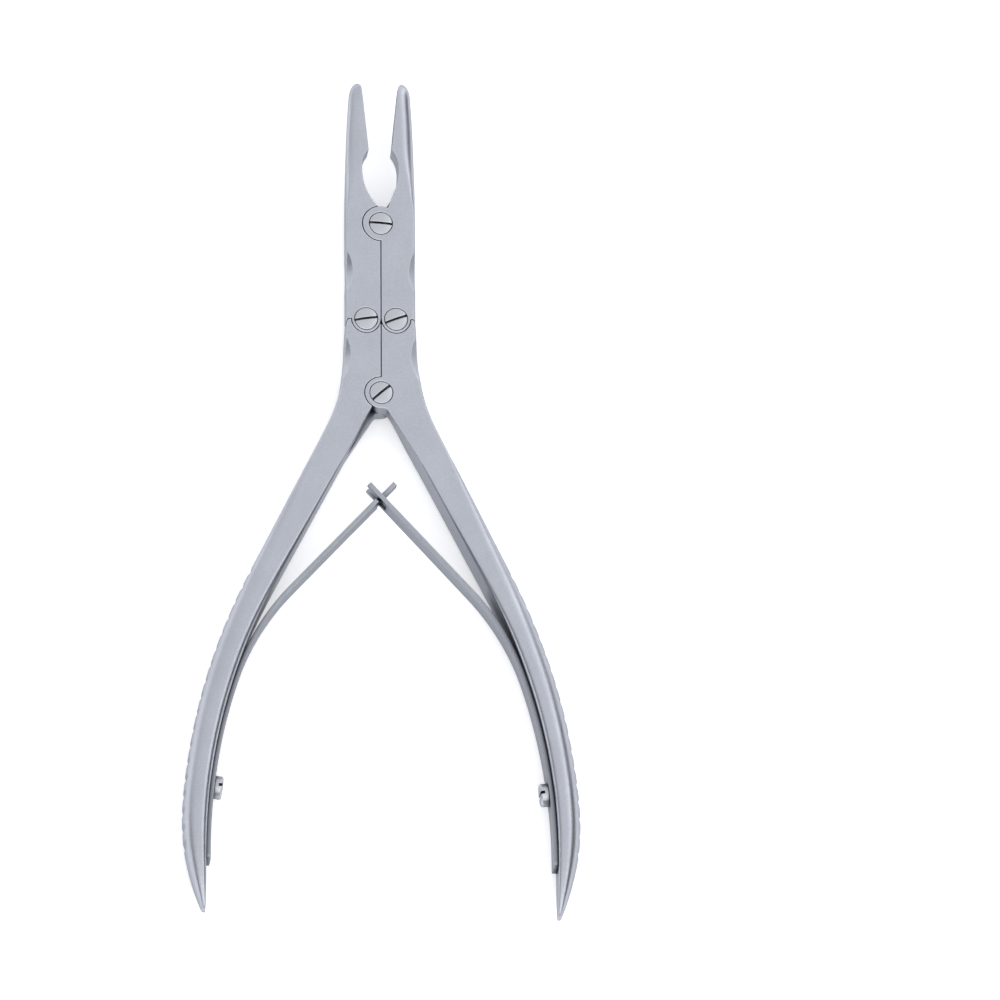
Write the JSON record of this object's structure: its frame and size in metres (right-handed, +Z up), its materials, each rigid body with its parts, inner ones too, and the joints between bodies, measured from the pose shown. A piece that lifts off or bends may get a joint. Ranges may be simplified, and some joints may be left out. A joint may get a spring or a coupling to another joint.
{
  "type": "bone rongeur",
  "caption": "Double-action bone rongeur with cupped jaws, slotted pivot screws, bowed serrated grips and crossed leaf springs, lying open.",
  "frame": {"origin": "centre of the bounding box in X and Y, at its lowest point in Z; the instrument lies on its grips with the joint's front face up", "axes": "+Y from the grips to the jaws, +X to the side of the right handle, +Z up through the joint's front face along the pivot screws"},
  "size_m": [0.0814, 0.18, 0.01],
  "materials": {
    "satin_steel": "satin, glass-bead blasted and hand ground",
    "screw_steel": "turned, fine satin",
    "spring_steel": "satin, brushed along its length"
  },
  "bodies": {
    "left_handle": {"left_handle": "satin_steel", "left_spring": "spring_steel", "left_spring_screw": "screw_steel", "handle_pivot_screw": "screw_steel", "left_link_screw": "screw_steel"},
    "right_handle": {"right_handle": "satin_steel", "right_spring": "spring_steel", "right_spring_screw": "screw_steel", "right_link_screw": "screw_steel"},
    "left_jaw": {"left_jaw": "satin_steel", "jaw_pivot_screw": "screw_steel"},
    "right_jaw": {"right_jaw": "satin_steel"}
  },
  "joints": [
    {"name": "handle_pivot", "type": "hinge", "parent": "left_handle", "child": "right_handle", "pos_m": [0, 0.0216, 0.005], "axis": [0, 0, -1], "range_deg": [0, 18.35], "stiffness_Nm_per_rad": 1.2, "springref_deg": -7.16, "deforming": ["left_spring", "right_spring"]},
    {"name": "left_jaw_link", "type": "hinge", "parent": "left_handle", "child": "left_jaw", "pos_m": [-0.00307, 0.0376, 0.005], "axis": [0, 0, -1], "range_deg": [0, 16.2]},
    {"name": "right_jaw_link", "type": "hinge", "parent": "right_handle", "child": "right_jaw", "pos_m": [0.00307, 0.0376, 0.005], "axis": [0, 0, 1], "range_deg": [0, 16.2]}
  ],
  "couplings": [
    {"joint": "left_jaw_link", "follows": "handle_pivot", "ratio": 0.88146},
    {"joint": "right_jaw_link", "follows": "handle_pivot", "ratio": 0.88146}
  ]
}
